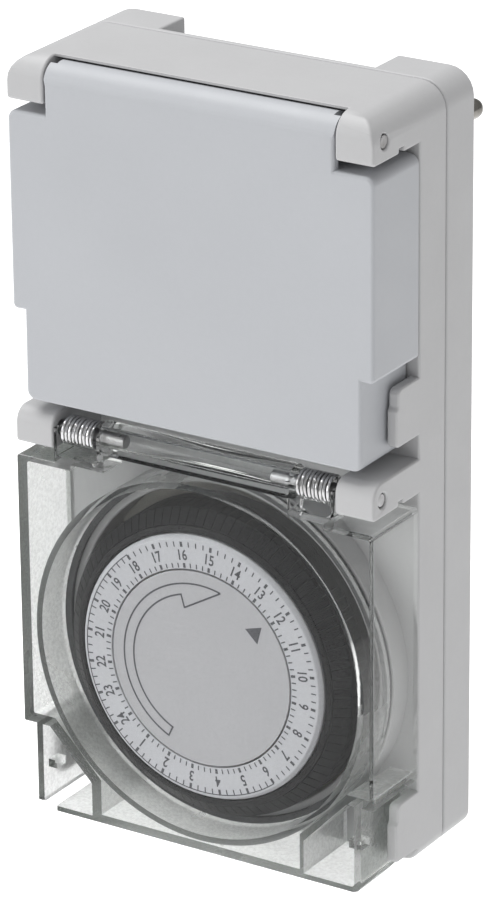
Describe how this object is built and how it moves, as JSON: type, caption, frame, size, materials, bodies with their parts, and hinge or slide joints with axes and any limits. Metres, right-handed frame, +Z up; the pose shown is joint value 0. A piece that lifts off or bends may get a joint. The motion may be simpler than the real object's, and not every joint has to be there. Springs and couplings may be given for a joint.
{
  "type": "plug-in outdoor time switch",
  "caption": "Plug-in outdoor time switch: grey housing with a plug at the back, a socket under a sprung flap, and a turning twenty-four-hour dial under a clear sprung cover.",
  "frame": {"origin": "centre of the plug's flat face, midway between the two outer plug pins", "axes": "+X to the right seen from the front, +Y back into the wall socket along the plug pins, +Z up along the housing"},
  "size_m": [0.076, 0.0858, 0.1474],
  "materials": {
    "housing_plastic": "satin",
    "flap_plastic": "satin",
    "socket_plastic": "satin",
    "plug_plastic": "satin",
    "clear_plastic": "clear, polished",
    "seal_rubber": "matte",
    "screw_steel": "zinc plated",
    "pin_nickel": "nickel plated",
    "earth_strip_steel": "nickel plated",
    "contact_brass": "stamped",
    "hinge_steel": "drawn",
    "spring_steel": "drawn wire",
    "dial_white": "printed",
    "tappet_black": "satin",
    "movement_nylon": "moulded",
    "pinion_brass": "cut",
    "motor_can": "zinc plated",
    "microswitch_case": "moulded"
  },
  "bodies": {
    "housing": {"front_housing": "housing_plastic", "rear_housing": "housing_plastic", "socket_insert": "socket_plastic", "plug_body": "plug_plastic", "housing_seal": "seal_rubber", "dial_seal": "seal_rubber", "housing_screw_1": "screw_steel", "housing_screw_2": "screw_steel", "housing_screw_3": "screw_steel", "housing_screw_4": "screw_steel", "plug_pin_live": "pin_nickel", "plug_pin_neutral": "pin_nickel", "plug_pin_earth": "pin_nickel", "busbar_earth": "contact_brass", "earth_clip_top": "earth_strip_steel", "earth_clip_bottom": "earth_strip_steel", "socket_contact_live": "contact_brass", "socket_contact_neutral": "contact_brass", "busbar_live": "contact_brass", "busbar_neutral": "contact_brass", "flap_pin_left": "hinge_steel", "flap_pin_right": "hinge_steel", "cover_pin_left": "hinge_steel", "cover_pin_right": "hinge_steel", "dial_spindle": "hinge_steel", "dial_centre": "dial_white", "movement_plate": "movement_nylon", "motor": "motor_can", "microswitch": "microswitch_case"},
    "flap": {"socket_flap": "flap_plastic", "flap_seal": "seal_rubber", "flap_spring_left": "spring_steel", "flap_spring_right": "spring_steel"},
    "cover": {"timer_cover": "clear_plastic", "cover_spring_left": "spring_steel", "cover_spring_right": "spring_steel"},
    "dial": {"number_ring": "dial_white", "tappet_carrier": "tappet_black", "dial_hub": "movement_nylon", "dial_gear": "movement_nylon"},
    "idler": {"idler_gear": "movement_nylon"},
    "motor_shaft": {"motor_pinion": "pinion_brass"},
    "shutter": {"safety_shutter": "socket_plastic"},
    "lever": {"switch_lever": "movement_nylon", "switch_plunger": "movement_nylon"},
    "tappet_1_body": {"tappet_1": "tappet_black"},
    "tappet_2_body": {"tappet_2": "tappet_black"},
    "tappet_3_body": {"tappet_3": "tappet_black"},
    "tappet_4_body": {"tappet_4": "tappet_black"},
    "tappet_5_body": {"tappet_5": "tappet_black"},
    "tappet_6_body": {"tappet_6": "tappet_black"}
  },
  "joints": [
    {"name": "flap_hinge", "type": "hinge", "parent": "housing", "child": "flap", "pos_m": [0, -0.0628, 0.0212], "axis": [-1, 0, 0], "range_deg": [0, 105], "stiffness_Nm_per_rad": 0.012, "springref_deg": -34.38},
    {"name": "cover_hinge", "type": "hinge", "parent": "housing", "child": "cover", "pos_m": [0, -0.0636, -0.0448], "axis": [-1, 0, 0], "range_deg": [0, 105], "stiffness_Nm_per_rad": 0.012, "springref_deg": -34.38},
    {"name": "dial_turn", "type": "hinge", "parent": "housing", "child": "dial", "pos_m": [0, -0.0568, -0.0857], "axis": [0, 1, 0], "continuous": true},
    {"name": "idler_turn", "type": "hinge", "parent": "housing", "child": "idler", "pos_m": [0.01909, -0.0468, -0.10479], "axis": [0, 1, 0], "continuous": true},
    {"name": "motor_turn", "type": "hinge", "parent": "housing", "child": "motor_shaft", "pos_m": [0.01909, -0.0448, -0.08979], "axis": [0, 1, 0], "continuous": true},
    {"name": "shutter_turn", "type": "hinge", "parent": "housing", "child": "shutter", "pos_m": [0, -0.0421, -0.0059], "axis": [0, 1, 0], "range_deg": [0, 31.5], "stiffness_Nm_per_rad": 0.002, "springref_deg": -11.46},
    {"name": "lever_tilt", "type": "hinge", "parent": "housing", "child": "lever", "pos_m": [-0.01994, -0.0434, -0.10564], "axis": [1, 0, 0], "range_deg": [0, 5], "stiffness_Nm_per_rad": 0.001, "springref_deg": -11.46},
    {"name": "tappet_1_slide", "type": "slide", "parent": "dial", "child": "tappet_1_body", "axis": [0, 1, 0], "range_m": [0, 0.002]},
    {"name": "tappet_2_slide", "type": "slide", "parent": "dial", "child": "tappet_2_body", "axis": [0, 1, 0], "range_m": [0, 0.002]},
    {"name": "tappet_3_slide", "type": "slide", "parent": "dial", "child": "tappet_3_body", "axis": [0, 1, 0], "range_m": [0, 0.002]},
    {"name": "tappet_4_slide", "type": "slide", "parent": "dial", "child": "tappet_4_body", "axis": [0, 1, 0], "range_m": [0, 0.002]},
    {"name": "tappet_5_slide", "type": "slide", "parent": "dial", "child": "tappet_5_body", "axis": [0, 1, 0], "range_m": [0, 0.002]},
    {"name": "tappet_6_slide", "type": "slide", "parent": "dial", "child": "tappet_6_body", "axis": [0, 1, 0], "range_m": [0, 0.002]}
  ],
  "couplings": [
    {"joint": "idler_turn", "follows": "dial_turn", "ratio": -8},
    {"joint": "motor_turn", "follows": "dial_turn", "ratio": 32}
  ]
}
